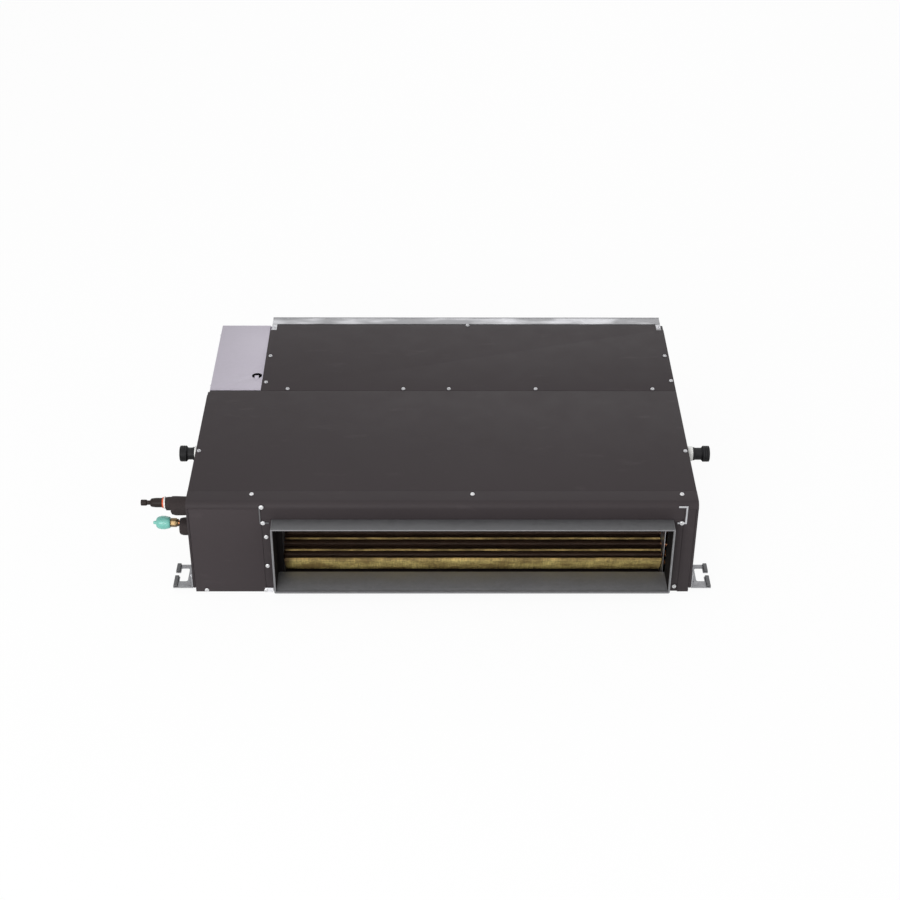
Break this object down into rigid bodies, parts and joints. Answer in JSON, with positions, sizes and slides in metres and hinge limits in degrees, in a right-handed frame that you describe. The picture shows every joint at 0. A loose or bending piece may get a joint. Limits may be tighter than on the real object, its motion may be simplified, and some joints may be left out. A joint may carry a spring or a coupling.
{
  "type": "air conditioner indoor unit",
  "caption": "Slim ducted air conditioner indoor unit with sloping coil, twin blowers, outlet and return collars, electrical box and slotted hanging brackets.",
  "frame": {"origin": "centre of the flat face that lies against the ceiling when the unit hangs, which is the face it lies on here", "axes": "+X along the width, away from the pipes and the electrical box; +Y from the air outlet to the air return; +Z away from the ceiling side, so that +Z points down once the unit hangs"},
  "size_m": [1.0383, 0.6733, 0.2025],
  "materials": {
    "charcoal_panel": "matt foam-faced sheet",
    "galvanised_steel": "zinc-coated sheet, faint spangle",
    "dull_steel": "dull zinc-coated sheet",
    "shaft_steel": "ground bright steel",
    "black_plastic": "moulded matt plastic",
    "black_rubber": "moulded rubber",
    "black_foam": "closed-cell foam",
    "white_plastic": "moulded plastic",
    "white_foam": "moulded bead foam",
    "copper": "drawn copper tube",
    "brass": "machined brass",
    "teal_plastic": "moulded cap plastic",
    "gold_fins": "gold-coated fin stock",
    "green_board": "circuit board laminate",
    "transformer_iron": "laminated core"
  },
  "bodies": {
    "casing": {"blower_housing_left_lower": "black_plastic", "blower_housing_left_upper": "black_plastic", "blower_housing_right_lower": "black_plastic", "blower_housing_right_upper": "black_plastic", "cable_grommet": "black_rubber", "capacitor": "black_plastic", "ceiling_tray": "charcoal_panel", "circuit_board": "green_board", "coil_cover": "charcoal_panel", "coil_tube": "copper", "cover_screw_1": "galvanised_steel", "cover_screw_2": "galvanised_steel", "cover_screw_3": "galvanised_steel", "cover_screw_4": "galvanised_steel", "cover_screw_5": "galvanised_steel", "drain_nozzle_left": "white_plastic", "drain_nozzle_right": "white_plastic", "drain_pan": "white_foam", "electrical_box": "galvanised_steel", "electrical_box_lid": "galvanised_steel", "fan_cover": "charcoal_panel", "fan_deck": "dull_steel", "fan_side_plate": "dull_steel", "fin_pack": "gold_fins", "flare_nut": "brass", "front_left_panel": "charcoal_panel", "front_rail": "charcoal_panel", "front_right_post": "charcoal_panel", "gas_foam_block": "black_foam", "gas_pipe": "copper", "gas_sleeve": "black_foam", "hanger_front_left": "galvanised_steel", "hanger_front_right": "galvanised_steel", "hanger_rear_left": "galvanised_steel", "hanger_rear_right": "galvanised_steel", "left_side_panel": "charcoal_panel", "liquid_pipe": "copper", "liquid_sleeve": "black_foam", "motor": "dull_steel", "motor_band_left": "galvanised_steel", "motor_band_right": "galvanised_steel", "motor_bracket": "dull_steel", "outlet_collar": "galvanised_steel", "pipe_plate": "galvanised_steel", "rail_tie_left": "galvanised_steel", "rail_tie_right": "galvanised_steel", "return_collar": "galvanised_steel", "right_side_panel": "charcoal_panel", "terminal_block": "white_plastic", "transformer": "transformer_iron", "tube_sheet_left": "galvanised_steel", "tube_sheet_right": "galvanised_steel"},
    "fan_rotor": {"blower_wheel_left": "black_plastic", "blower_wheel_right": "black_plastic", "motor_shaft": "shaft_steel"},
    "filter": {"air_filter": "black_plastic"},
    "left_plug": {"drain_plug_left": "black_rubber"},
    "right_plug": {"drain_plug_right": "black_rubber"},
    "gas_seal": {"gas_plug": "black_rubber"},
    "liquid_seal": {"liquid_cap": "teal_plastic"}
  },
  "joints": [
    {"name": "fan_spin", "type": "hinge", "parent": "casing", "child": "fan_rotor", "pos_m": [0.05185, 0.19, 0.104], "axis": [1, 0, 0], "continuous": true},
    {"name": "filter_pull", "type": "slide", "parent": "casing", "child": "filter", "axis": [0, 1, 0], "range_m": [0, 0.06]},
    {"name": "drain_plug_left_pull", "type": "slide", "parent": "casing", "child": "left_plug", "axis": [-1, 0, 0], "range_m": [0, 0.03]},
    {"name": "drain_plug_right_pull", "type": "slide", "parent": "casing", "child": "right_plug", "axis": [1, 0, 0], "range_m": [0, 0.03]},
    {"name": "gas_plug_pull", "type": "slide", "parent": "casing", "child": "gas_seal", "axis": [-1, 0, 0], "range_m": [0, 0.03]},
    {"name": "liquid_cap_pull", "type": "slide", "parent": "casing", "child": "liquid_seal", "axis": [-1, 0, 0], "range_m": [0, 0.02]}
  ]
}
